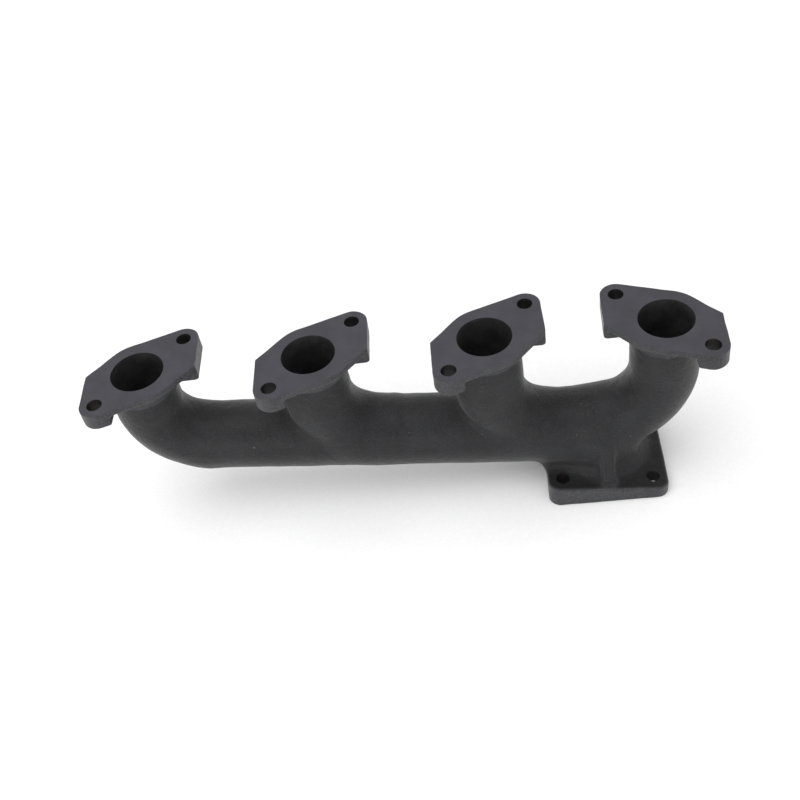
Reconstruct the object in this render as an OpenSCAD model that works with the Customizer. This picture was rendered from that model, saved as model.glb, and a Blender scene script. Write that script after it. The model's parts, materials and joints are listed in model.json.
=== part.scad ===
// Four-port exhaust manifold, cast in iron, modelled as its named casting sections.
// The origin is the centre of port 1 on the gasket face. +X runs along the row of ports,
// +Z points into the cylinder head, and the outlet faces -Z.

/* [Ports] */
// Distance between neighbouring ports
port_pitch = 112; // [100:1:120]
// Inside radius of each port and of each runner passage
port_r = 17.5; // [15:0.5:18]
// Wall thickness of the runners at their flanges
runner_wall = 4; // [3.5:0.5:5]

/* [Port flanges] */
// Thickness of a port flange at its bolt pads
flange_t = 12; // [10:1:14]
// Thickness of a port flange between its bolt pads
web_t = 5; // [4:0.5:8]
// Height of the tube root that is part of a port flange
collar_t = 13; // [12.5:0.5:15]
// Distance between the two bolt holes of a flange, along the row
bolt_dx = 50.5; // [49:0.5:52]
// Distance between the two bolt holes of a flange, across the row
bolt_dy = 53.5; // [52:0.5:55]
// Radius of a bolt hole
bolt_hole_r = 5; // [4:0.5:5.5]
// Radius of the rounded end around a bolt hole
boss_r = 10; // [9:0.5:11]
// How far the bolt pair sits from the port centre, along the row
bolt_shift = 2; // [0:0.5:3]
// Radius of the flange around the port
web_r = 26.5; // [26.5:0.5:28]
// Half the length of a flange, out to its sharp corners
flange_half = 36; // [35.5:0.5:37]

/* [Runners] */
// Bend radius of runner 1, on its centre line
bend_1 = 38; // [36:1:42]
// Bend radius of runner 2
bend_2 = 45; // [41:1:47]
// Bend radius of runner 3
bend_3 = 46; // [42:1:48]
// Bend radius of runner 4
bend_4 = 46; // [42:1:50]
// Outside radius of the elbow of runner 1
elbow_r_1 = 22; // [21.5:0.25:22.5]
// Outside radius of the elbows of runners 2 and 3
elbow_r_23 = 22.5; // [21.5:0.25:22.5]
// How far runner 2 ends above the axis of the log
rise_2 = 1; // [0.5:0.25:1.25]
// Depth of the axis at which runners 3 and 4 end
elbow_34_z = 84; // [83:0.5:84.5]

/* [Log] */
// Depth of the log's axis below port 1
log_z = 62; // [60:0.5:64]
// Slope of the log away from the gasket face, in degrees
log_tilt = 5.5; // [5:0.5:6]
// Outside radius of the log at runner 1
log_r_start = 23; // [22.5:0.25:23.5]
// Outside radius of the log at the collector
log_r_end = 25; // [24.5:0.25:25.5]
// Wall thickness of the log
log_wall = 4.5; // [4:0.5:5]

/* [Outlet] */
// Distance of the outlet along the row, from port 1
outlet_x = 296.5; // [295:0.5:298]
// Depth of the outlet's mating face below the gasket face
outlet_z = 125; // [123:1:128]
// Side of the outlet flange
outlet_side = 80; // [78:1:82]
// Distance between neighbouring bolt holes of the outlet
outlet_pitch = 60; // [58:1:61]
// Radius of a bolt hole of the outlet
outlet_hole_r = 4.5; // [4:0.25:5]
// Radius of the outlet passage
outlet_r = 21; // [19:0.5:22]
// Outside radius of the neck above the outlet flange
neck_r = 27.5; // [27.5:0.5:28.5]
// Thickness of the outlet flange under the end of the collector
outlet_t = 13; // [12:0.5:14]
// Radius of the corners of the outlet flange
outlet_corner_r = 8; // [6:1:10]
// Thickness of the gussets
gusset_t = 8; // [6:1:10]

/* [Hidden] */
$fn = 96;
hull_fn = 32;
big = 600;
over = 1;
embed = 1;
iron = "#2c2c30";
iron_light = "#37373c";
// Outside radius of a runner at its flange
root_r = port_r + runner_wall;
elbow_r = [elbow_r_1, elbow_r_23, elbow_r_23, root_r];
// Size of the 45 degree flare between web and tube
flare = 4;
// Where the bolt pads start, along the row and across it
pad_inset = 16;
pad_overlap = 1;
// Radius of the two side corners of a port flange
corner_r = 0.8;
// How much larger the round end of the log is than the log
ball_extra = 0.75;
// How far above the axis of the log the gussets reach, and how far out they are there
gusset_rise = 5;
gusset_top_y = log_r_end + 2;
// Places along the row
port_x = [0, port_pitch, 2 * port_pitch, 3 * port_pitch];
side = [1, 1, 1, -1];
bend = [bend_1, bend_2, bend_3, bend_4];
turn = [90 - log_tilt, 90, 90, 90];
function log_axis_z(x) = -log_z - x * tan(log_tilt);
// Depth at which each runner starts to bend
log_start_x = bend_1 * (1 - cos(turn[0]));
bend_z = [
    log_axis_z(log_start_x) + bend_1 * sin(turn[0]),
    log_axis_z(port_pitch + bend_2) + rise_2 + bend_2,
    bend_3 - elbow_34_z,
    bend_4 - elbow_34_z
];
elbow_3_end_x = port_x[2] + bend_3;
elbow_4_end_x = port_x[3] - bend_4;
log_end_inset = 2;
log_end_x = elbow_4_end_x - log_end_inset;
cut_before_port = 28;
cut_12 = port_x[1] - cut_before_port;
cut_23 = port_x[2] - cut_before_port;
log_s0 = log_start_x / cos(log_tilt);
log_s1 = log_end_x / cos(log_tilt);

// ---- shared shapes -------------------------------------------------------

// Shapes drawn along +Z inside this module lie along the axis of the log.
module along_log() {
    translate([0, 0, -log_z])
        rotate([0, 90 + log_tilt, 0])
            children();
}

// Everything between two planes across the row.
module slab(x0, x1) {
    translate([x0, -big / 2, -big / 2])
        cube([x1 - x0, big, big]);
}

// Outer or inner surface of the log as one long solid cone, thinner by inset.
module log_cone(inset) {
    along_log()
        translate([0, 0, log_s0])
            cylinder(h = log_s1 - log_s0, r1 = log_r_start - inset, r2 = log_r_end - inset);
}

// Round end of the log inside the collector.
module log_end_ball(inset) {
    translate([log_end_x, 0, log_axis_z(log_end_x)])
        sphere(r = log_r_end + ball_extra - inset);
}

// Solid torus arc that carries runner i from -Z round towards the collector.
module elbow(i, r) {
    translate([port_x[i], 0, bend_z[i]])
        mirror([side[i] > 0 ? 0 : 1, 0, 0])
            translate([bend[i], 0, 0])
                rotate([90, 0, 0])
                    rotate_extrude(angle = turn[i], start = 180)
                        translate([bend[i], 0])
                            circle(r = r);
}

// Body of the collector without its passages.
module collector_body() {
    intersection() {
        log_cone(0);
        slab(elbow_3_end_x, big);
    }
    log_end_ball(0);
    translate([outlet_x, 0, -outlet_z + outlet_t / 2])
        cylinder(h = outlet_z - outlet_t / 2 + log_axis_z(log_end_x), r = neck_r);
}

// Every passage that meets in the collector.
module collector_passages() {
    log_cone(log_wall);
    log_end_ball(log_wall);
    outlet_bore();
}

// Straight passage from the collector out through the outlet flange.
module outlet_bore() {
    translate([outlet_x, 0, -outlet_z - over])
        cylinder(h = outlet_z + over + log_axis_z(log_end_x), r = outlet_r);
}

// ---- port flanges --------------------------------------------------------

// Places its children on flange i, centred between the bolts; flange 4 is turned over.
module on_flange(i) {
    translate([port_x[i] + side[i] * bolt_shift, 0, 0])
        mirror([side[i] > 0 ? 0 : 1, 0, 0])
            children();
}

// Outline of a port flange: round over the port and the bolts, sharp at its two side corners.
module flange_outline() {
    hull() {
        circle(r = web_r, $fn = 2 * hull_fn);
        for (s = [-1, 1]) {
            translate([s * bolt_dx / 2, s * bolt_dy / 2])
                circle(r = boss_r, $fn = hull_fn);
            translate([s * (flange_half - corner_r), s * corner_r])
                circle(r = corner_r, $fn = hull_fn);
        }
    }
}

// Thin web all round the port, and a thick pad round each bolt hole.
module flange_plate() {
    difference() {
        translate([0, 0, -flange_t])
            linear_extrude(height = flange_t)
                flange_outline();
        relief();
        rotate([0, 0, 180])
            relief();
        for (s = [-1, 1])
            translate([s * bolt_dx / 2, s * bolt_dy / 2, -flange_t - over])
                cylinder(h = flange_t + 2 * over, r = bolt_hole_r);
    }
}

// Straight passage from the gasket face to the start of bend i.
module port_bore(i) {
    translate([port_x[i], 0, bend_z[i] - over])
        cylinder(h = big, r = port_r);
}

// Flange i with the flared root of its runner.
module port_flange(i) {
    difference() {
        union() {
            on_flange(i)
                flange_plate();
            translate([port_x[i], 0, -collar_t])
                cylinder(h = collar_t, r = root_r);
            translate([port_x[i], 0, -web_t - flare])
                cylinder(h = flare, r1 = root_r, r2 = root_r + flare);
        }
        port_bore(i);
    }
}

// Clearance under half of the web, out to the straight edges of both pads.
module relief() {
    translate([-pad_inset, -big / 2, -flange_t - over])
        cube([2 * pad_inset, big / 2, flange_t + over - web_t]);
    translate([pad_inset - over, -big / 2, -flange_t - over])
        cube([big / 2, big / 2 - pad_overlap, flange_t + over - web_t]);
}

// ---- runners -------------------------------------------------------------

// Straight tube from the root of flange i down to its bend.
module runner_stub(i) {
    difference() {
        translate([port_x[i], 0, bend_z[i]])
            cylinder(h = -collar_t - bend_z[i], r1 = elbow_r[i], r2 = root_r);
        port_bore(i);
    }
}

// Elbow i ends where it meets the skin of the log or the collector.
module runner_elbow(i) {
    difference() {
        elbow(i, elbow_r[i]);
        elbow(i, port_r);
        if (i > 0)
            log_cone(0);
        if (i == 3)
            collector_body();
    }
}

// ---- log, collector and outlet -------------------------------------------

// Part of the log between two planes, opened where runner i comes in.
module log_section(x0, x1, i) {
    difference() {
        intersection() {
            log_cone(0);
            slab(x0, x1);
        }
        log_cone(log_wall);
        if (i > 0)
            elbow(i, port_r);
    }
}

// Last part of the log, its round end and the neck that leads down to the outlet.
module collector() {
    difference() {
        collector_body();
        collector_passages();
        elbow(3, port_r);
        outlet_plate();
    }
}

// Square plate whose back follows the slope of the log; its face stays parallel to the ports.
module outlet_plate() {
    corner = outlet_side / 2 - outlet_corner_r;
    difference() {
        translate([outlet_x, 0, -outlet_z])
            linear_extrude(height = 2 * outlet_t)
                hull()
                    for (x = [-corner, corner], y = [-corner, corner])
                        translate([x, y])
                            circle(r = outlet_corner_r, $fn = hull_fn);
        translate([outlet_x, 0, -outlet_z + outlet_t])
            rotate([0, log_tilt, 0])
                translate([-big / 2, -big / 2, 0])
                    cube([big, big, big]);
    }
}

// Outlet flange with its passage and four bolt holes.
module outlet_flange() {
    difference() {
        outlet_plate();
        outlet_bore();
        for (x = [-1, 1], y = [-1, 1])
            translate([outlet_x + x * outlet_pitch / 2, y * outlet_pitch / 2, -outlet_z - over])
                cylinder(h = 2 * outlet_t, r = outlet_hole_r);
    }
}

// Upright web from the edge of the outlet flange to the collector; dir -1 is the front one.
module gusset(dir) {
    foot_y = dir * (outlet_side / 2 - embed);
    foot_z = -outlet_z + outlet_t / 2;
    top_z = log_axis_z(outlet_x) + gusset_rise;
    difference() {
        translate([outlet_x - gusset_t / 2, 0, 0])
            rotate([90, 0, 90])
                linear_extrude(height = gusset_t)
                    polygon([
                        [0, foot_z],
                        [foot_y, foot_z],
                        [foot_y, foot_z + outlet_t / 2 + embed],
                        [dir * gusset_top_y, top_z],
                        [0, top_z]
                    ]);
        collector_body();
        elbow(3, elbow_r[3]);
        outlet_plate();
    }
}

color(iron_light) port_flange(0);  // port_flange_1
color(iron_light) port_flange(1);  // port_flange_2
color(iron_light) port_flange(2);  // port_flange_3
color(iron_light) port_flange(3);  // port_flange_4
color(iron) runner_stub(0);  // runner_stub_1
color(iron) runner_stub(1);  // runner_stub_2
color(iron) runner_stub(2);  // runner_stub_3
color(iron) runner_stub(3);  // runner_stub_4
color(iron) runner_elbow(0);  // runner_elbow_1
color(iron) runner_elbow(1);  // runner_elbow_2
color(iron) runner_elbow(2);  // runner_elbow_3
color(iron) runner_elbow(3);  // runner_elbow_4
color(iron) log_section(0, cut_12, 0);  // log_section_1
color(iron) log_section(cut_12, cut_23, 1);  // log_section_2
color(iron) log_section(cut_23, elbow_3_end_x, 2);  // log_section_3
color(iron) collector();
color(iron_light) outlet_flange();
color(iron) gusset(-1);  // front_gusset
color(iron) gusset(1);  // rear_gusset
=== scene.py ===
"""Looks of a four-port exhaust manifold in cast iron.

The casting is meshed from a distance field. Its tubes, flanges and webs are blended with the fillets of
a sand casting, and then the machined faces, the bolt holes and the passages are cut in. All named sections
share one net of points, so neighbours meet on the same points, without a gap.
Lengths in the field are millimetres. The meshes, lights and camera are in metres.
"""

import json
from math import hypot, radians

import bpy
import numpy as np
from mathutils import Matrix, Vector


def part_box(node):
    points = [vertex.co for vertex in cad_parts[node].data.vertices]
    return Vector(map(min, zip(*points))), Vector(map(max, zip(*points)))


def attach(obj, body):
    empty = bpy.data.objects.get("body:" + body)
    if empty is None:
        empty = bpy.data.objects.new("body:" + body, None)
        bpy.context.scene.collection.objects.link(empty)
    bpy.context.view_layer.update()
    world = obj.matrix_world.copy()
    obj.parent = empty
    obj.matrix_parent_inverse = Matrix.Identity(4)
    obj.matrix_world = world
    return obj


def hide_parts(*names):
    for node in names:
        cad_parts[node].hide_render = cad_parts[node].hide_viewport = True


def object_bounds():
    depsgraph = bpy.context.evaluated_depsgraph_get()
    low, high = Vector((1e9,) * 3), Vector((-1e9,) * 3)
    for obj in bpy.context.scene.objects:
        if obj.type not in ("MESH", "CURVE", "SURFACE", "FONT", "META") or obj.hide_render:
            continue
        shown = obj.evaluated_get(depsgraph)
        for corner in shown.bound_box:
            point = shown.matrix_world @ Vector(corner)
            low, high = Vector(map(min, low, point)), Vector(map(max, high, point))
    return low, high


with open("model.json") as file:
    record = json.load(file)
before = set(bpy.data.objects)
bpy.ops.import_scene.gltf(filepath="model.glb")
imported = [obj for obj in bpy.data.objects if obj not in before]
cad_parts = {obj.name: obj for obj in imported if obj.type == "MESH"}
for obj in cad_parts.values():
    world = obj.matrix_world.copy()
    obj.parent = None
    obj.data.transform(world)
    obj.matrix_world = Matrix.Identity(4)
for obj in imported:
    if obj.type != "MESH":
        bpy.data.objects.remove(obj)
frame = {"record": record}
cad_low, cad_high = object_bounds()

MM = 0.001

# ---- sizes, from the frame where it states them --------------------------------------------------

mounts = {mount["name"]: mount for mount in frame["record"]["mounts"]}


def mount_x(name):
    return mounts[name]["pos_m"][0] / MM


def mount_size(name, key):
    return mounts[name]["dims"][key]


def node_box(name):
    """Lowest and highest corner of a CAD node, in millimetres."""
    low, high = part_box(name)
    return np.array(low) / MM, np.array(high) / MM


PORTS = ("1", "2", "3", "4")
port_x = np.array([mount_x(f"port_{p}_bore") for p in PORTS])
bolt_x = np.array([mount_x(f"port_{p}_bolts") for p in PORTS])
bend_z = -np.array([mount_size(f"port_{p}_bore", "length_mm") for p in PORTS])
port_pitch = port_x[1] - port_x[0]
port_r = mount_size("port_1_bore", "r_mm")
bolt_hole_r = mount_size("port_1_bolts", "hole_r_mm")
side = np.sign(bolt_x - port_x)  # +1 where a runner bends towards +X, -1 where it bends back

# Port flanges
flange_low, flange_high = node_box("port_flange_1")
flange_half_x, flange_half_y = (flange_high - flange_low)[:2] / 2
collar_z = flange_low[2]
flange_t = 12.0
web_t = 5.0
boss_r = 10.0
web_r = 26.5
corner_r = 0.8
pad_inset = 16.0
pad_overlap = 1.0
bolt_v = flange_half_y - boss_r
bolt_u = (mount_size("port_1_bolts", "pcd_mm") ** 2 / 4 - bolt_v**2) ** 0.5

# Runners, one value per port
root_r = 22.0
bend_r = np.array([38.0, 45.0, 46.0, 46.0])
elbow_r = np.array([22.4, 22.7, 22.7, 22.0])
elbow_end_r = np.array([23.0, 24.0, 22.4, 22.4])

# Log, which slopes down from runner 1 to the collector
log_tilt = radians(5.5)
tilt_cos, tilt_sin = np.cos(log_tilt), np.sin(log_tilt)
turn = np.pi / 2 - np.array([log_tilt, 0.0, 0.0, 0.0])
log_start_x = bend_r[0] * (1 - np.cos(turn[0]))
log_start_z = bend_z[0] - bend_r[0] * np.sin(turn[0])
log_short = 2.0  # how far before the end of runner 4's bend the axis of the log ends
log_end_x = port_x[3] - bend_r[3] - log_short
log_length = (log_end_x - log_start_x) / tilt_cos
log_end_z = log_start_z - log_length * tilt_sin
log_start_r = 23.0
log_end_r = 25.0
log_wall = 4.5
# How slowly the end of a runner shrinks into the log; runners 3 and 4 meet, so they keep their size
tail_shrink = np.array([30.0, 30.0, np.inf, np.inf])

# Outlet
outlet_low, outlet_high = node_box("outlet_flange")
outlet_x = mount_x("outlet_bore")
outlet_z = outlet_low[2]
outlet_half = (outlet_high[0] - outlet_low[0]) / 2
outlet_r = mount_size("outlet_bore", "r_mm")
outlet_hole_at = mount_size("outlet_bolts", "spacing_x_mm") / 2
outlet_hole_r = mount_size("outlet_bolts", "hole_r_mm")
outlet_t = 13.0
outlet_corner_r = 8.0
neck_r = 26.5
neck_top_r = 24.0
gusset_t = 8.0
gusset_rise = 5.0
gusset_inset = 4.0  # from the edge of the plate to the foot of a gusset
gusset_embed = 1.0

# Edges and fillets of the casting
edge_r = 1.2
plate_edge_r = 2.0
flange_fillet = 6.0
pad_fillet = 2.5
outer_fillet = 5.0
inner_fillet = 10.0
tail_fillet = 1.5
neck_fillet = 10.0
plate_fillet = 12.0
gusset_fillet = 5.0
passage_fillet = 4.0
stock = 3.0  # metal that the machined faces were cut from
drill_over = 3.0

# Seams between the named sections
cut_before_port = 28.0
plate_seam_lift = 1.0  # keeps the plate's seam off the plate's own surface
gusset_seam_reach = 1.5 * gusset_t
log_cuts = (port_x[1] - cut_before_port, port_x[2] - cut_before_port, port_x[2] + bend_r[2])

GRID = 1.0  # side of one cell of the net


# ---- distance fields: negative inside ------------------------------------------------------------


def smooth_min(a, b, blend):
    """The lower of two fields, with a fillet about as large as blend where they meet."""
    near = np.maximum(blend - np.abs(a - b), 0)
    return np.minimum(a, b) - near * near / (4 * blend)


def rounded_corner(radius, *sides):
    """Space inside all the sides at once, with its outer edges rounded."""
    outside = sum(np.maximum(s + radius, 0) ** 2 for s in sides) ** 0.5
    deepest = sides[0]
    for s in sides[1:]:
        deepest = np.maximum(deepest, s)
    return outside + np.minimum(deepest + radius, 0) - radius


def hull_outline(u, v, circles):
    """Flat outline stretched round circles (u, v, radius), which are listed counterclockwise."""
    normals = []
    for (au, av, ar), (bu, bv, br) in zip(circles, circles[1:] + circles[:1]):
        gap = hypot(bu - au, bv - av)
        du, dv = (bu - au) / gap, (bv - av) / gap
        lean = (ar - br) / gap
        flat = (1 - lean * lean) ** 0.5
        normals.append((dv * flat + du * lean, -du * flat + dv * lean))
    distance = -np.inf
    for i, (cu, cv, r) in enumerate(circles):
        pu, pv = u - cu, v - cv
        (lu, lv), (nu, nv) = normals[i - 1], normals[i]
        distance = np.maximum(distance, pu * nu + pv * nv - r)
        on_arc = (lu * pv - lv * pu >= 0) & (pu * nv - pv * nu >= 0)
        distance = np.maximum(distance, np.where(on_arc, np.hypot(pu, pv) - r, -np.inf))
    return distance


def nearest_port(x):
    return np.clip(np.rint((x - port_x[0]) / port_pitch), 0, len(PORTS) - 1).astype(int)


def bend_place(x, z):
    """Port number, place along the row from it, drop below the start of its bend, and angle round it."""
    k = nearest_port(x)
    u = side[k] * (x - port_x[k])
    drop = bend_z[k] - z
    return k, u, drop, np.arctan2(drop, bend_r[k] - u)


def runner(x, y, z, bore=False):
    """Nearest runner: straight down from its flange, round its bend, then a tail inside the log."""
    k, u, drop, angle = bend_place(x, z)
    tail_u = u - bend_r[k] * (1 - np.cos(turn[k]))
    tail_z = bend_r[k] * np.sin(turn[k]) - drop
    along = tail_u * np.sin(turn[k]) - tail_z * np.cos(turn[k])
    across = tail_u * np.cos(turn[k]) + tail_z * np.sin(turn[k])
    straight, bent = drop <= 0, angle < turn[k]
    round_bend = np.hypot(drop, bend_r[k] - u) - bend_r[k]
    off_axis = np.where(straight, u, np.where(bent, round_bend, across))
    down = np.clip((collar_z - z) / (collar_z - bend_z[k]), 0, 1)
    stub_r = root_r + (elbow_r[k] - root_r) * down
    arc_r = elbow_r[k] + (elbow_end_r[k] - elbow_r[k]) * angle / turn[k]
    end_r = elbow_end_r[k]
    if bore:
        stub_r = arc_r = end_r = port_r
    radius = np.where(straight, stub_r, np.where(bent, arc_r, end_r - along**2 / tail_shrink[k]))
    return np.hypot(off_axis, y) - radius


def elbow_blend(x, z):
    """Fillet between a runner and the log: wide inside the bend, and gone where the tubes run together."""
    k, u, drop, angle = bend_place(x, z)
    inner = np.clip(u / elbow_r[k], 0, 1)
    wide = outer_fillet + (inner_fillet - outer_fillet) * inner
    merged = np.where(drop > 0, np.clip(angle / turn[k], 0, 1), 0)
    return wide + (tail_fillet - wide) * merged**2


def log_place(x, z):
    """Place along the axis of the log, and height above that axis."""
    dx, dz = x - log_start_x, z - log_start_z
    return dx * tilt_cos - dz * tilt_sin, dx * tilt_sin + dz * tilt_cos


def log_tube(x, y, z, inset=0.0):
    along, across = log_place(x, z)
    radius = log_start_r + (log_end_r - log_start_r) * np.clip(along / log_length, 0, 1) - inset
    beyond = np.maximum(np.maximum(-along, along - log_length), 0)
    return np.sqrt(across * across + y * y + beyond * beyond) - radius


def neck(x, y, z):
    """Tube that widens from the collector down to the outlet flange."""
    down = np.clip((log_end_z - z) / (log_end_z - outlet_z - outlet_t), 0, 1)
    above = np.maximum(z - log_end_z, 0)
    return np.hypot(np.hypot(x - outlet_x, y), above) - (neck_top_r + (neck_r - neck_top_r) * down)


def collector(x, y, z):
    """The log and the neck together, without runners or plate."""
    return smooth_min(log_tube(x, y, z), neck(x, y, z), neck_fillet)


FLANGE_CIRCLES = [
    (flange_half_x - corner_r, corner_r, corner_r),
    (bolt_u, bolt_v, boss_r),
    (0.0, 0.0, web_r),
    (corner_r - flange_half_x, -corner_r, corner_r),
    (-bolt_u, -bolt_v, boss_r),
    (0.0, 0.0, web_r),
]


def flange(x, y, z):
    """Port flange as cast: a thin web round the port and a thick pad round each bolt."""
    k = nearest_port(x)
    u = side[k] * (x - bolt_x[k])
    outline = hull_outline(u, y, FLANGE_CIRCLES)
    half = np.where(u < 0, -1.0, 1.0)
    pad = rounded_corner(edge_r, pad_inset - half * u, -pad_overlap - half * y, -flange_t - z)
    underside = smooth_min(-web_t - z, pad, pad_fillet)
    return rounded_corner(edge_r, outline, underside, z - stock)


def plate_back(x, z):
    """Height above the back of the outlet flange, which slopes as the log does."""
    return (x - outlet_x) * tilt_sin + (z - outlet_z - outlet_t) * tilt_cos


def plate_outline(x, y):
    qx = np.abs(x - outlet_x) - (outlet_half - outlet_corner_r)
    qy = np.abs(y) - (outlet_half - outlet_corner_r)
    outside = np.hypot(np.maximum(qx, 0), np.maximum(qy, 0))
    return outside + np.minimum(np.maximum(qx, qy), 0) - outlet_corner_r


def outlet_plate(x, y, z):
    return rounded_corner(plate_edge_r, plate_outline(x, y), plate_back(x, z), outlet_z - stock - z)


def gusset(x, y, z):
    """Upright webs, front and rear, from the edge of the outlet flange up to the collector."""
    foot_y, foot_z = outlet_half - gusset_inset, outlet_z + outlet_t + gusset_embed
    top_y, top_z = log_end_r, log_end_z + gusset_rise
    length = hypot(top_y - foot_y, top_z - foot_z)
    lean_y, lean_z = (top_z - foot_z) / length, (foot_y - top_y) / length
    outer = (np.abs(y) - foot_y) * lean_y + (z - foot_z) * lean_z
    outer = np.maximum(outer, np.abs(y) - foot_y)
    return rounded_corner(edge_r, np.abs(x - outlet_x) - gusset_t / 2, outer, z - top_z)


def make_ripple(waves=28, seed=7, longest=34.0, shortest=7.0, height=0.1):
    """Slow unevenness of a sand casting, as a sum of plane waves."""
    random = np.random.default_rng(seed)
    directions = random.normal(size=(waves, 3))
    directions /= np.linalg.norm(directions, axis=1)[:, None]
    lengths = np.geomspace(shortest, longest, waves)
    numbers = directions * (2 * np.pi / lengths)[:, None]
    phases = random.uniform(0, 2 * np.pi, waves)
    heights = height * lengths / lengths.mean() / waves**0.5

    def ripple(x, y, z):
        return sum(
            h * np.sin(n[0] * x + n[1] * y + n[2] * z + p) for n, p, h in zip(numbers, phases, heights)
        )

    return ripple


ripple = make_ripple()


def cast_skin(x, y, z):
    tubes = smooth_min(log_tube(x, y, z), runner(x, y, z), elbow_blend(x, z))
    upper = smooth_min(tubes, flange(x, y, z), flange_fillet)
    body = smooth_min(upper, neck(x, y, z), neck_fillet)
    body = smooth_min(body, outlet_plate(x, y, z), plate_fillet)
    return smooth_min(body, gusset(x, y, z), gusset_fillet) + ripple(x, y, z)


def drilled_holes(x, y, z):
    k = nearest_port(x)
    u = side[k] * (x - bolt_x[k])
    half = np.where(u < 0, -1.0, 1.0)
    port_bolts = np.hypot(half * u - bolt_u, half * y - bolt_v) - bolt_hole_r
    port_bolts = np.maximum(port_bolts, -flange_t - drill_over - z)
    from_outlet = np.hypot(np.abs(x - outlet_x) - outlet_hole_at, np.abs(y) - outlet_hole_at)
    outlet_bolts = np.maximum(from_outlet - outlet_hole_r, plate_back(x, z) - drill_over)
    return np.minimum(port_bolts, outlet_bolts)


def passages(x, y, z):
    outlet = np.maximum(np.hypot(x - outlet_x, y) - outlet_r, z - log_end_z)
    chamber = smooth_min(log_tube(x, y, z, log_wall), outlet, passage_fillet)
    return smooth_min(chamber, runner(x, y, z, bore=True), passage_fillet)


SKIN = 0  # place of the cast skin in the stack below; the others are cut surfaces
SURFACE_COUNT = 5


def surfaces(x, y, z):
    """Cast skin, port faces, outlet face, bolt holes and passages; metal is where all are negative."""
    level = 0 * (x + y + z)
    return np.stack([
        cast_skin(x, y, z) + level,
        z + level,
        outlet_z - z + level,
        -drilled_holes(x, y, z) + level,
        -passages(x, y, z) + level,
    ])


def solid(x, y, z):
    return surfaces(x, y, z).max(0)


# ---- named sections ------------------------------------------------------------------------------


def sections(x, y, z):
    """One field per kind of section; a point belongs to the first that is negative."""
    k = nearest_port(x)
    level = 0 * (x + y + z)
    body = collector(x, y, z)
    along, _ = log_place(x, z)
    past_bend = side[k] * (x - port_x[k]) - bend_r[k]
    own = np.where(k == 0, along, np.maximum(runner(x, y, z) - body, past_bend))
    web = np.maximum(np.abs(x - outlet_x) - gusset_seam_reach, -body)
    return np.stack([
        collar_z - z + level,
        bend_z[k] - z + level,
        own + level,
        np.maximum(plate_back(x, z) - plate_seam_lift, plate_outline(x, y) - plate_seam_lift) + level,
        np.maximum(web, z - log_end_z - gusset_rise) + level,
        x - log_cuts[0] + level,
        x - log_cuts[1] + level,
        x - log_cuts[2] + level,
        level - 1,  # always negative: the collector takes what is left
    ])


# Names of the sections, kind by kind, in the order of the fields above
KINDS = [
    [f"port_flange_{p}" for p in PORTS],
    [f"runner_stub_{p}" for p in PORTS],
    [f"runner_elbow_{p}" for p in PORTS],
    ["outlet_flange"],
    ["front_gusset", "rear_gusset"],
    ["log_section_1"],
    ["log_section_2"],
    ["log_section_3"],
    ["collector"],
]
ELBOW, GUSSET, AIR = 2, 4, len(KINDS)
PIECES = [name for names in KINDS for name in names]
FIRST_LABEL = 1 + np.cumsum([0] + [len(names) for names in KINDS[:-1]])
KIND_OF_LABEL = np.array([AIR] + [kind for kind, names in enumerate(KINDS) for _ in names])


def labels(x, y, z):
    """0 in the air, otherwise 1 + the place of the section's name in PIECES."""
    kind = (sections(x, y, z) < 0).argmax(0)
    which = np.where(kind <= ELBOW, nearest_port(x), np.where(kind == GUSSET, y > 0, 0))
    return np.where(solid(x, y, z) < 0, FIRST_LABEL[kind] + which, 0).astype(np.int8)


# ---- the net -------------------------------------------------------------------------------------

STEP = 1e-3  # for slopes, in millimetres
STRIDE = GRID / 2  # longest single move of a point
CELL_REACH = 0.6 * GRID  # how far a point may end up from the middle of its cell
EDGE_REACH = 0.75 * GRID  # the same for points on sharp edges and seams
EDGE_NEAR = 0.9 * GRID  # a point this near a sharp edge is moved on to it
ON_SURFACE = 0.02  # a point this near counts as on a surface, in millimetres


def slope(field, points):
    """Value and gradient of a field, or of a stack of fields, at points."""
    x, y, z = points
    value = field(x, y, z)
    sides = [field(*(points + STEP * axis[:, None])) for axis in np.eye(3)]
    return value, (np.stack(sides) - value) / STEP


def pull(points, value, gradient, limit):
    """One step towards the place where value is zero."""
    size = np.maximum((gradient**2).sum(0), 1e-3)
    step = value / size * gradient
    return points - np.clip(step, -limit, limit)


def settle(points, field, rounds=5):
    """Moves points on to the surface where field is zero, each within about a cell of its start."""
    start = points
    for _ in range(rounds):
        value, gradient = slope(field, points)
        points = pull(points, value, gradient, STRIDE)
        points = start + np.clip(points - start, -CELL_REACH, CELL_REACH)
    return points


def pick(stack, which):
    return np.take_along_axis(stack, which[None], 0)[0]


def settle_on_edges(start, points, rounds=7):
    """Moves points that lie by a sharp edge on to it, where two surfaces are zero together."""
    ranked = np.argsort(surfaces(*points), axis=0)
    first, second = ranked[-1], ranked[-2]
    close = pick(surfaces(*points), second) > -EDGE_NEAR
    edge = start[:, close].copy()
    for _ in range(rounds):
        for which in (first[close], second[close]):
            value, gradient = slope(surfaces, edge)
            chosen = np.stack([pick(g, which) for g in gradient])
            edge = pull(edge, pick(value, which), chosen, STRIDE)
    inside = (np.abs(edge - start[:, close]) < EDGE_REACH).all(0)
    rest = pick(surfaces(*edge), first[close])
    inside &= (np.abs(rest) < ON_SURFACE) & (surfaces(*edge).max(0) < ON_SURFACE)
    moved = np.flatnonzero(close)[inside]
    points[:, moved] = edge[:, inside]
    return points


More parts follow.
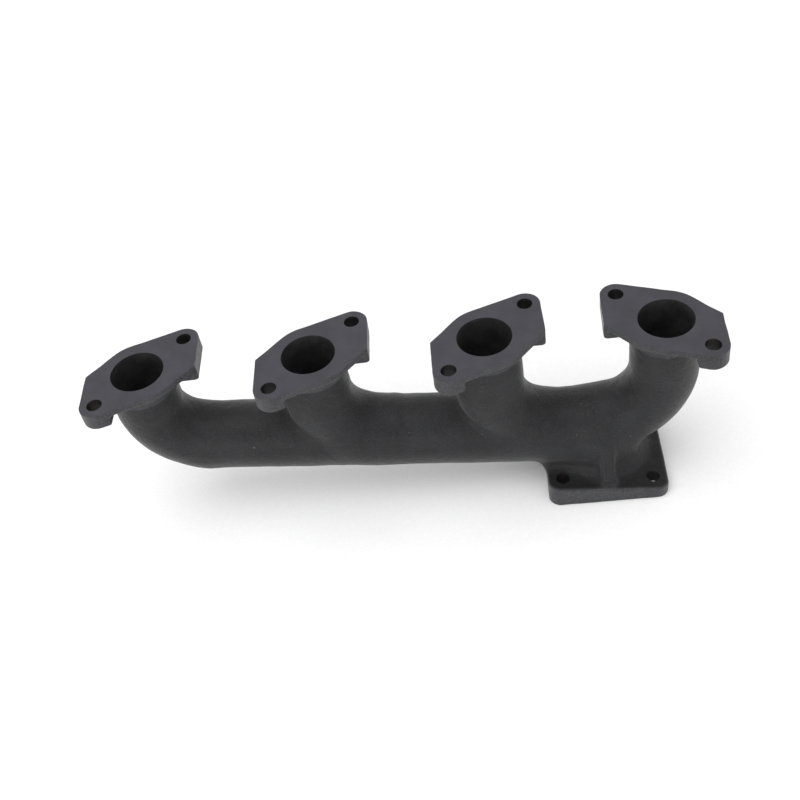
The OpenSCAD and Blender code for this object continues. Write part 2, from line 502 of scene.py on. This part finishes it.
def settle_on_seams(start, points, kind, on_skin, rounds=6):
    """Moves points between two sections on to the plane or curve that parts them."""
    seam = points.copy()
    for _ in range(rounds):
        value, gradient = slope(sections, seam)
        chosen = np.stack([pick(g, kind) for g in gradient])
        seam = pull(seam, pick(value, kind), chosen, STRIDE)
        value, gradient = slope(solid, seam)
        seam = np.where(on_skin, pull(seam, value, gradient, STRIDE), seam)
    near = (np.abs(seam - start) < EDGE_REACH).all(0)
    return np.where(near, seam, points)


def label_grid():
    """Labels at the corners of a grid round the whole casting, and the grid's lowest corner."""
    margin = 2.5 * GRID
    off_plane = 0.137  # keeps the grid's planes away from the casting's flat faces
    slab = 16
    low = np.array(cad_low) / MM - margin + off_plane
    high = np.array(cad_high) / MM + margin
    counts = np.ceil((high - low) / GRID).astype(int) + 1
    x, y, z = (low[a] + GRID * np.arange(counts[a]) for a in range(3))
    slabs = np.array_split(np.arange(counts[0]), counts[0] // slab)
    grid = [labels(x[s][:, None, None], y[None, :, None], z[None, None, :]) for s in slabs]
    return np.concatenate(grid), low


def net_points(grid, low):
    """One point in every cell whose corners differ, and the number of each cell's point."""
    corners = np.stack([
        grid[i : i + grid.shape[0] - 1, j : j + grid.shape[1] - 1, k : k + grid.shape[2] - 1]
        for i in (0, 1) for j in (0, 1) for k in (0, 1)
    ])
    mixed = corners.min(0) != corners.max(0)
    number = np.full(mixed.shape, -1)
    number[mixed] = np.arange(mixed.sum())
    start = low[:, None] + GRID * (np.array(np.nonzero(mixed)) + 0.5)
    around = corners[:, mixed]
    kinds = KIND_OF_LABEL[around]
    first_kind = kinds.min(0)
    last_kind = np.where(kinds == AIR, -1, kinds).max(0)
    on_skin = (around == 0).any(0)
    points = start.copy()
    points[:, on_skin] = settle(start[:, on_skin], solid)
    points[:, on_skin] = settle_on_edges(start[:, on_skin], points[:, on_skin])
    seams = first_kind != last_kind
    points[:, seams] = settle_on_seams(start[:, seams], points[:, seams], first_kind[seams], on_skin[seams])
    return points, number


def net_faces(grid, number):
    """Four point numbers per face, the label on its near side and the label on its far side."""
    faces, near_labels, far_labels = [], [], []
    for axis in range(3):
        moved = np.moveaxis(grid, axis, 0)
        cells = np.moveaxis(number, axis, 0)
        near, far = moved[:-1, 1:-1, 1:-1], moved[1:, 1:-1, 1:-1]
        ring = [cells[:, :-1, :-1], cells[:, 1:, :-1], cells[:, 1:, 1:], cells[:, :-1, 1:]]
        if axis == 1:
            ring.reverse()
        differ = near != far
        faces.append(np.stack([r[differ] for r in ring], 1))
        near_labels.append(near[differ])
        far_labels.append(far[differ])
    return np.concatenate(faces), np.concatenate(near_labels), np.concatenate(far_labels)


# ---- materials -----------------------------------------------------------------------------------


class Nodes:
    """A material's node tree, with short calls to add and join nodes."""

    def __init__(self, name):
        self.material = bpy.data.materials.new(name)
        self.material.use_nodes = True
        self.tree = self.material.node_tree
        self.shader = self.tree.nodes["Principled BSDF"]
        coordinates = self.add("ShaderNodeTexCoord")
        self.place = coordinates.outputs["Object"]
        self.normal = coordinates.outputs["Normal"]

    def add(self, kind, **settings):
        node = self.tree.nodes.new(kind)
        for key, value in settings.items():
            setattr(node, key, value)
        return node

    def feed(self, socket, value):
        if isinstance(value, bpy.types.NodeSocket):
            self.tree.links.new(value, socket)
        else:
            socket.default_value = value

    def noise(self, size_mm, detail=4.0, roughness=0.55, place=None):
        node = self.add("ShaderNodeTexNoise")
        self.feed(node.inputs["Vector"], place or self.place)
        node.inputs["Scale"].default_value = 1 / (size_mm * MM)
        node.inputs["Detail"].default_value = detail
        node.inputs["Roughness"].default_value = roughness
        return node.outputs["Fac"]

    def cells(self, size_mm):
        node = self.add("ShaderNodeTexVoronoi")
        self.feed(node.inputs["Vector"], self.place)
        node.inputs["Scale"].default_value = 1 / (size_mm * MM)
        return node.outputs["Distance"]

    def band(self, value, low, high, out_low=0.0, out_high=1.0):
        node = self.add("ShaderNodeMapRange")
        node.interpolation_type = "SMOOTHSTEP"
        for socket, v in zip(node.inputs, (value, low, high, out_low, out_high)):
            self.feed(socket, v)
        return node.outputs["Result"]

    def maths(self, operation, a, b):
        node = self.add("ShaderNodeMath", operation=operation)
        self.feed(node.inputs[0], a)
        self.feed(node.inputs[1], b)
        return node.outputs[0]

    def facing_up(self):
        split = self.add("ShaderNodeSeparateXYZ")
        self.feed(split.inputs["Vector"], self.normal)
        return split.outputs["Z"]

    def mix(self, share, a, b):
        node = self.add("ShaderNodeMix", data_type="RGBA")
        self.feed(node.inputs["Factor"], share)
        self.feed(node.inputs["A"], a)
        self.feed(node.inputs["B"], b)
        return node.outputs["Result"]

    def bump(self, height, depth_mm, strength=1.0, below=None):
        node = self.add("ShaderNodeBump")
        node.inputs["Strength"].default_value = strength
        node.inputs["Distance"].default_value = depth_mm * MM
        self.feed(node.inputs["Height"], height)
        if below is not None:
            self.feed(node.inputs["Normal"], below)
        return node.outputs["Normal"]

    def finish(self, colour, roughness, normal, specular=0.2, sheen=0.0):
        self.feed(self.shader.inputs["Base Color"], colour)
        self.feed(self.shader.inputs["Roughness"], roughness)
        self.feed(self.shader.inputs["Normal"], normal)
        self.shader.inputs["Specular IOR Level"].default_value = specular
        self.shader.inputs["Sheen Weight"].default_value = sheen
        return self.material


def grey(level, tint=(1.0, 1.0, 1.0)):
    return (level * tint[0], level * tint[1], level * tint[2], 1.0)


COOL = (0.97, 0.98, 1.06)
MAUVE = (1.0, 0.96, 1.18)
RUST = (1.9, 1.15, 0.8)


def sand_cast_iron(name, dark, light, soot_and_painted_shade=0.0):
    """Rough skin left by the sand mould, under a matt coating: grains, pits, rust, and painted shade on the
    parts that face up.
    """
    n = Nodes(name)
    cloud = n.noise(38.0, detail=3)
    blotch = n.noise(9.0, detail=5, roughness=0.65)
    grain = n.noise(0.9, detail=3, roughness=0.7)
    pits = n.band(n.cells(2.6), 0.05, 0.3)
    tone = n.maths("ADD", n.maths("MULTIPLY", cloud, 0.45), n.maths("MULTIPLY", blotch, 0.55))
    colour = n.mix(n.band(tone, 0.3, 0.7), grey(dark, COOL), grey(light, COOL))
    colour = n.mix(n.band(grain, 0.5, 0.7, 0.0, 0.7), colour, grey(light * 2.0, COOL))
    rust = n.band(n.noise(22.0, detail=6, roughness=0.7), 0.62, 0.74, 0.0, 0.35)
    colour = n.mix(rust, colour, grey(light, RUST))
    specks = n.band(n.noise(1.5, detail=1), 0.79, 0.83, 0.0, 0.8)
    colour = n.mix(specks, colour, grey(0.2))
    # Painted shade: surfaces that face up are darkened nearly to black, as far as the last argument allows.
    colour = n.mix(n.band(n.facing_up(), 0.6, 0.95, 0.0, soot_and_painted_shade), colour, grey(0.004))
    roughness = n.band(blotch, 0.3, 0.7, 0.36, 0.48)
    normal = n.bump(n.noise(4.5, detail=3), 0.6, 0.7)
    normal = n.bump(pits, 0.12, 0.45, normal)
    normal = n.bump(grain, 0.28, 0.9, normal)
    return n.finish(colour, roughness, normal, specular=0.14, sheen=0.12)


def machined_iron(name):
    """Flat face cut by a milling head, then coated: fine and even, with faint marks."""
    n = Nodes(name)
    cloud = n.noise(16.0, detail=4)
    grain = n.noise(0.7, detail=2, roughness=0.6)
    stretch = n.add("ShaderNodeMapping")
    stretch.inputs["Scale"].default_value = (0.06, 1.0, 1.0)
    n.feed(stretch.inputs["Vector"], n.place)
    marks = n.noise(0.8, detail=2, place=stretch.outputs["Vector"])
    colour = n.mix(n.band(cloud, 0.3, 0.7), grey(0.034, MAUVE), grey(0.044, MAUVE))
    colour = n.mix(n.band(grain, 0.55, 0.75, 0.0, 0.4), colour, grey(0.07, MAUVE))
    roughness = n.band(marks, 0.3, 0.7, 0.42, 0.56)
    normal = n.bump(marks, 0.03, 0.35)
    normal = n.bump(grain, 0.07, 0.5, normal)
    return n.finish(colour, roughness, normal, specular=0.28)


def drilled_iron(name):
    """Bare wall of a drilled hole, with rings from the drill and a trace of rust."""
    n = Nodes(name)
    stretch = n.add("ShaderNodeMapping")
    stretch.inputs["Scale"].default_value = (0.1, 0.1, 1.0)
    n.feed(stretch.inputs["Vector"], n.place)
    rings = n.noise(0.7, detail=2, place=stretch.outputs["Vector"])
    patch = n.noise(5.0, detail=4)
    colour = n.mix(n.band(patch, 0.52, 0.8), grey(0.014), grey(0.02, RUST))
    return n.finish(colour, n.band(rings, 0.3, 0.7, 0.4, 0.6), n.bump(rings, 0.06, 0.6))


def sooty_iron(name):
    """Inside of the passages: cast skin with a dull black film."""
    n = Nodes(name)
    film = n.noise(11.0, detail=5)
    grain = n.noise(1.3, detail=3)
    colour = n.mix(n.band(film, 0.35, 0.65), grey(0.012), grey(0.024))
    return n.finish(colour, n.band(grain, 0.3, 0.7, 0.7, 0.85), n.bump(grain, 0.3, 0.7), specular=0.3)


def floor_material():
    """Pale studio paper with a barely seen grain."""
    n = Nodes("studio_paper")
    grain = n.noise(1.2, detail=3)
    colour = n.mix(n.band(grain, 0.3, 0.7), grey(0.86), grey(0.9))
    return n.finish(colour, n.band(grain, 0.3, 0.7, 0.75, 0.85), n.bump(grain, 0.05, 0.2), specular=0.2)


# ---- meshes --------------------------------------------------------------------------------------


def face_surfaces(points, faces, seam):
    """Which surface each face lies on; seams get SKIN, since nothing shows of them."""
    middle = points[:, faces].mean(2)
    return np.where(seam, SKIN, surfaces(*middle).argmax(0))


def corner_normals(points, faces, on_surface, seam):
    """Normals from the slope of the field itself, so fillets shade smoothly and cut edges stay sharp."""
    normals = np.zeros(faces.shape + (3,))
    for surface in range(SURFACE_COUNT):
        mine = (on_surface == surface) & ~seam
        used = np.unique(faces[mine])
        if not len(used):
            continue
        slopes = np.zeros((points.shape[1], 3))
        _, gradient = slope(lambda x, y, z: surfaces(x, y, z)[surface], points[:, used])
        gradient /= np.maximum(np.linalg.norm(gradient, axis=0), 1e-9)
        slopes[used] = gradient.T
        normals[mine] = slopes[faces[mine]]
    return normals


def make_piece(name, points, faces, on_surface, normals, materials):
    used, local = np.unique(faces, return_inverse=True)
    mesh = bpy.data.meshes.new(name)
    mesh.from_pydata(points[:, used].T * MM, [], local.reshape(faces.shape))
    for material in materials:
        mesh.materials.append(material)
    mesh.polygons.foreach_set("material_index", on_surface.astype(np.int32))
    mesh.polygons.foreach_set("use_smooth", np.ones(len(faces), bool))
    mesh.normals_split_custom_set(normals.reshape(-1, 3))
    piece = bpy.data.objects.new(name, mesh)
    bpy.context.scene.collection.objects.link(piece)
    return piece


def build_casting(slots):
    """Meshes the casting, and makes one piece for each CAD node."""
    grid, low = label_grid()
    points, number = net_points(grid, low)
    faces, near, far = net_faces(grid, number)
    seam = (near > 0) & (far > 0)
    on_surface = face_surfaces(points, faces, seam)
    normals = corner_normals(points, faces, on_surface, seam)
    casting = sand_cast_iron("cast_skin", 0.010, 0.018)
    # The flange skin gets strong painted shade where it faces up; the plain casting gets none.
    flange_skin = sand_cast_iron("flange_skin", 0.022, 0.044, soot_and_painted_shade=0.85)
    face = machined_iron("machined_face")
    hole = drilled_iron("drilled_hole")
    soot_and_painted_shade = sooty_iron("sooty_passage")
    # The sooty passage material is the real black film inside the passages, not painted shade.
    for label, node in enumerate(PIECES, start=1):
        ahead, behind = near == label, far == label
        own_faces = np.concatenate([faces[ahead], faces[behind][:, ::-1]])
        own_normals = np.concatenate([normals[ahead], normals[behind][:, ::-1]])
        own_surface = np.concatenate([on_surface[ahead], on_surface[behind]])
        skin = flange_skin if slots[node] == "flange_iron" else casting
        piece = make_piece(
            f"{node}_casting", points, own_faces, own_surface, own_normals, [skin, face, face, hole, soot_and_painted_shade]
        )
        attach(piece, "root")
        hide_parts(node)


# ---- studio --------------------------------------------------------------------------------------


def studio_floor():
    half = 6.0
    gap = 0.0004  # keeps the outlet face clear of the floor
    z = cad_low[2] - gap
    mesh = bpy.data.meshes.new("floor")
    corners = [(-half, -half, z), (half, -half, z), (half, half, z), (-half, half, z)]
    mesh.from_pydata(corners, [], [(0, 1, 2, 3)])
    mesh.materials.append(floor_material())
    floor = bpy.data.objects.new("floor", mesh)
    bpy.context.scene.collection.objects.link(floor)


def soft_light(name, place, aim, size, power):
    lamp = bpy.data.lights.new(name, "AREA")
    lamp.shape = "DISK"
    lamp.size = size
    lamp.energy = power
    light = bpy.data.objects.new(name, lamp)
    light.location = place
    direction = light.location - aim
    light.rotation_euler = direction.to_track_quat("Z", "Y").to_euler()
    bpy.context.scene.collection.objects.link(light)


def studio_lights():
    middle = (cad_low + cad_high) / 2
    soft_light("overhead", (middle.x - 0.3, -0.25, 1.5), middle, 1.6, 14.0)
    soft_light("front", (middle.x - 0.6, -1.7, 0.0), middle, 1.2, 18.0)
    world = bpy.data.worlds.new("studio")
    world.use_nodes = True
    background = world.node_tree.nodes["Background"]
    background.inputs["Color"].default_value = (1.0, 1.0, 1.0, 1.0)
    background.inputs["Strength"].default_value = 0.9
    bpy.context.scene.world = world


def photo_camera():
    """The photograph's view: from the front and above, level with the row of ports."""
    lens = bpy.data.cameras.new("camera")
    lens.sensor_width = 36.0
    lens.lens = 49.5
    camera = bpy.data.objects.new("camera", lens)
    camera.location = (0.2351, -0.5021, 0.4718)
    camera.rotation_euler = (radians(43.654), radians(7.83), radians(-0.089))
    bpy.context.scene.collection.objects.link(camera)
    bpy.context.scene.camera = camera


bpy.context.scene.view_settings.view_transform = "Standard"
photo_camera()
studio_lights()
studio_floor()
build_casting({part["node"]: part["material_slot"] for part in frame["record"]["subparts"]})
